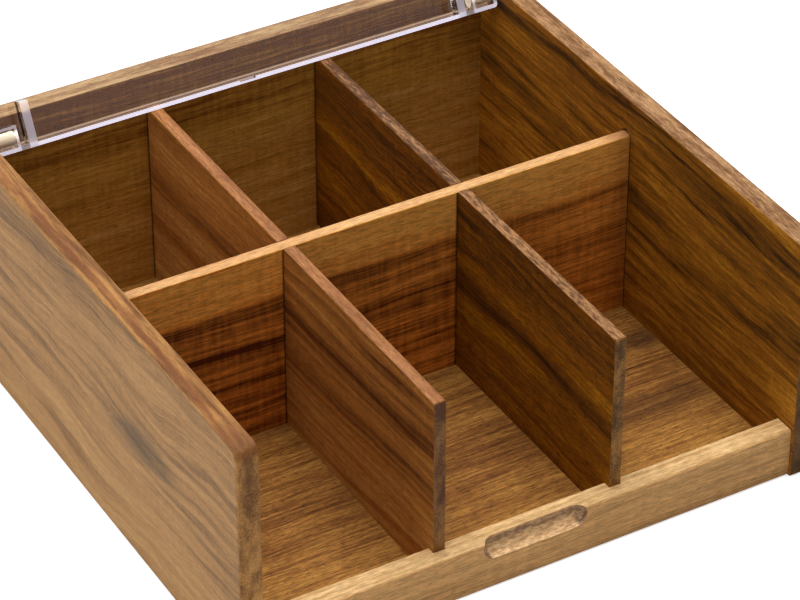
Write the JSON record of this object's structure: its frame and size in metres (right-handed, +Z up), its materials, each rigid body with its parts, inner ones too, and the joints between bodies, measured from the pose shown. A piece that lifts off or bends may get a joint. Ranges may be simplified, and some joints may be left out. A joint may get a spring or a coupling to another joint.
{
  "type": "tea bag organizer box",
  "caption": "Wooden tea bag box with a grid of compartments, an open front above a low rail with a finger scoop, and a clear hinged lid.",
  "frame": {"origin": "middle of the box's base, on the surface it stands on; the open lid isn't counted in the middle", "axes": "+Z up, +Y to the back panel, +X to the right seen from the front"},
  "size_m": [0.242, 0.3172, 0.3268],
  "materials": {
    "side_left_wood": "satin oil",
    "side_right_wood": "satin oil",
    "back_wood": "satin oil",
    "rail_wood": "satin oil",
    "bottom_wood": "satin oil",
    "cross_divider_wood": "satin oil",
    "left_divider_wood": "satin oil",
    "right_divider_wood": "satin oil",
    "dowel_wood": "raw",
    "pin_wood": "raw",
    "clear_plastic": "clear, polished"
  },
  "bodies": {
    "box": {"left_side_panel": "side_left_wood", "right_side_panel": "side_right_wood", "back_panel": "back_wood", "front_rail": "rail_wood", "bottom_panel": "bottom_wood", "cross_divider": "cross_divider_wood", "left_long_divider": "left_divider_wood", "right_long_divider": "right_divider_wood", "back_dowels": "dowel_wood", "rail_dowels": "dowel_wood", "left_hinge_pin": "pin_wood", "right_hinge_pin": "pin_wood"},
    "lid": {"clear_lid": "clear_plastic"}
  },
  "joints": [
    {"name": "lid_hinge", "type": "hinge", "parent": "box", "child": "lid", "pos_m": [0, 0.09995, 0.0987], "axis": [-1, 0, 0], "range_deg": [-117, 15]}
  ]
}
